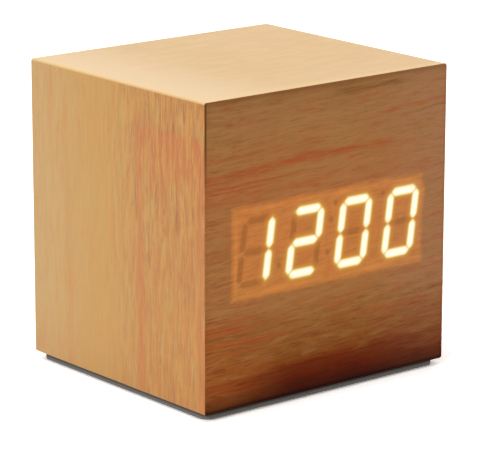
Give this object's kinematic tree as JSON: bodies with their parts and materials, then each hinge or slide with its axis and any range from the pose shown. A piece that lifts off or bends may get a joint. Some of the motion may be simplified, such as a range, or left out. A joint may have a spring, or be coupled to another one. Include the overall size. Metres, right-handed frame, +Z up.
{
  "type": "alarm clock",
  "caption": "Cube alarm clock in a wood-grain body with a lit time display behind the front veneer, rear push buttons, power inlet and a battery door underneath.",
  "frame": {"origin": "on the table under the middle of the body, on the underside of the foam pad", "axes": "+Z up, -Y out of the face with the display, +X to the right seen from the front"},
  "size_m": [0.063, 0.057, 0.064],
  "materials": {
    "veneer_wrap": "satin wood-grain film",
    "veneer_front": "satin wood-grain film, slightly darker",
    "fibreboard": "raw medium-density fibreboard",
    "foam_grey": "closed-cell foam, matt",
    "housing_grey": "light grey moulded plastic",
    "segment_lit": "translucent resin, lit",
    "segment_unlit": "translucent resin, dark",
    "led_chip": "encapsulated chip",
    "board_green": "solder mask on glass-fibre board",
    "spacer_white": "moulded nylon",
    "steel": "zinc-plated steel",
    "tin": "tinned contact metal",
    "gold": "plated brass",
    "chip_black": "moulded epoxy",
    "can_silver": "drawn can",
    "case_black": "moulded plastic, fine texture",
    "button_black": "moulded plastic, smooth",
    "cell_wrap": "plain printed sleeve",
    "wires": "insulated wire",
    "ribbon_grey": "insulated wire"
  },
  "bodies": {
    "case": {"top_panel": "fibreboard", "base_panel": "fibreboard", "left_panel": "fibreboard", "right_panel": "fibreboard", "front_panel": "fibreboard", "rear_panel": "fibreboard", "sleeve_veneer": "veneer_wrap", "front_veneer": "veneer_front", "rear_veneer": "veneer_front", "base_pad": "foam_grey", "display_housing": "housing_grey", "lit_segments": "segment_lit", "unlit_segments": "segment_unlit", "indicator_dots": "segment_unlit", "segment_leds": "led_chip", "display_board": "board_green", "display_pins": "tin", "main_board": "board_green", "board_spacers": "spacer_white", "board_screws": "steel", "controller_chip": "chip_black", "chip_legs": "tin", "digit_drivers": "chip_black", "chip_resistors": "chip_black", "timing_crystal": "can_silver", "capacitors": "can_silver", "buzzer": "chip_black", "thermistor": "chip_black", "battery_socket": "spacer_white", "control_bezel": "case_black", "button_board": "board_green", "rear_screws": "steel", "switch_bodies": "chip_black", "switch_legs": "tin", "power_jack": "case_black", "jack_pin": "gold", "jack_terminals": "tin", "microphone": "can_silver", "battery_tray": "case_black", "tray_screws": "steel", "battery_cells": "cell_wrap", "cell_terminals": "steel", "contact_plates": "tin", "contact_springs": "tin", "battery_leads": "wires", "button_ribbon": "ribbon_grey"},
    "door": {"battery_door": "case_black"},
    "set_key": {"set_button": "button_black", "set_plunger": "chip_black"},
    "up_key": {"up_button": "button_black", "up_plunger": "chip_black"},
    "down_key": {"down_button": "button_black", "down_plunger": "chip_black"}
  },
  "joints": [
    {"name": "door_hinge", "type": "hinge", "parent": "case", "child": "door", "pos_m": [0, 0.0156, 0.0028], "axis": [1, 0, 0], "range_deg": [0, 90]},
    {"name": "set_press", "type": "slide", "parent": "case", "child": "set_key", "axis": [0, -1, 0], "range_m": [0, 0.0003], "stiffness_N_per_m": 4000},
    {"name": "up_press", "type": "slide", "parent": "case", "child": "up_key", "axis": [0, -1, 0], "range_m": [0, 0.0003], "stiffness_N_per_m": 4000},
    {"name": "down_press", "type": "slide", "parent": "case", "child": "down_key", "axis": [0, -1, 0], "range_m": [0, 0.0003], "stiffness_N_per_m": 4000}
  ]
}
